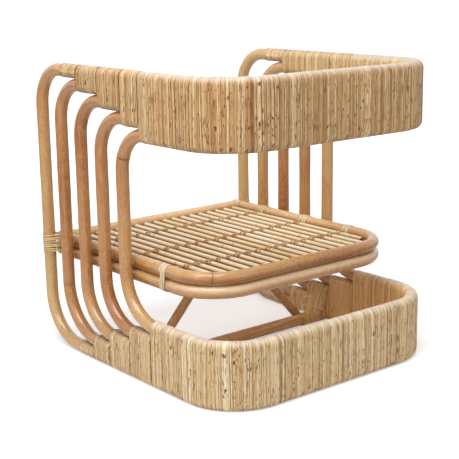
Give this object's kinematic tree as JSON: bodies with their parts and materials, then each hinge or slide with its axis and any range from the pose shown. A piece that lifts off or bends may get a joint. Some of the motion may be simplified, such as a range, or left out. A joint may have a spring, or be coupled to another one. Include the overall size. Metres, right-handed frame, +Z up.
{
  "type": "rattan lounge armchair frame",
  "caption": "Lounge armchair frame of nested bent rattan poles with cane-wrapped arm and floor bands and a lashed slatted deck for cushions.",
  "frame": {"origin": "on the floor, at the middle of the chair's outer box", "axes": "+Z up, the sitter faces -Y, +X to the sitter's left"},
  "size_m": [0.6668, 0.7316, 0.7004],
  "materials": {
    "frame_pole": "satin varnished rattan pole",
    "split_cane_wrap": "matt split cane strips",
    "deck_slat": "satin peeled rattan rod",
    "seat_pole": "satin varnished rattan pole",
    "cross_pole": "satin rattan pole",
    "underframe_pole": "satin rattan pole, darker",
    "lashing_cane": "matt cane binding",
    "dowel": "plain hardwood dowel"
  },
  "bodies": {
    "root": {"bottom_band_wrap": "split_cane_wrap", "brace_left": "underframe_pole", "brace_right": "underframe_pole", "corner_lashing_left": "lashing_cane", "corner_lashing_right": "lashing_cane", "corner_tie_left": "lashing_cane", "corner_tie_right": "lashing_cane", "cross_rail_front": "cross_pole", "cross_rail_middle": "cross_pole", "cross_rail_rear": "cross_pole", "floor_stretcher": "underframe_pole", "front_rail_lower": "seat_pole", "front_rail_upper": "seat_pole", "pole_1_left": "frame_pole", "pole_1_right": "frame_pole", "pole_2_left": "frame_pole", "pole_2_right": "frame_pole", "pole_3_left": "frame_pole", "pole_3_right": "frame_pole", "pole_4_left": "frame_pole", "pole_4_right": "frame_pole", "pole_5_left": "frame_pole", "pole_5_right": "frame_pole", "rail_dowels": "dowel", "rail_tie_front_left": "lashing_cane", "rail_tie_front_right": "lashing_cane", "rail_tie_middle_left": "lashing_cane", "rail_tie_middle_right": "lashing_cane", "rail_tie_rear_left": "lashing_cane", "rail_tie_rear_right": "lashing_cane", "seat_rail_lower": "seat_pole", "seat_rail_upper": "seat_pole", "slat_01": "deck_slat", "slat_02": "deck_slat", "slat_03": "deck_slat", "slat_04": "deck_slat", "slat_05": "deck_slat", "slat_06": "deck_slat", "slat_07": "deck_slat", "slat_08": "deck_slat", "slat_09": "deck_slat", "slat_10": "deck_slat", "slat_11": "deck_slat", "slat_12": "deck_slat", "slat_13": "deck_slat", "slat_14": "deck_slat", "slat_15": "deck_slat", "slat_16": "deck_slat", "slat_17": "deck_slat", "slat_18": "deck_slat", "stretcher_binding_left": "lashing_cane", "stretcher_binding_right": "lashing_cane", "top_band_wrap": "split_cane_wrap"}
  },
  "joints": []
}
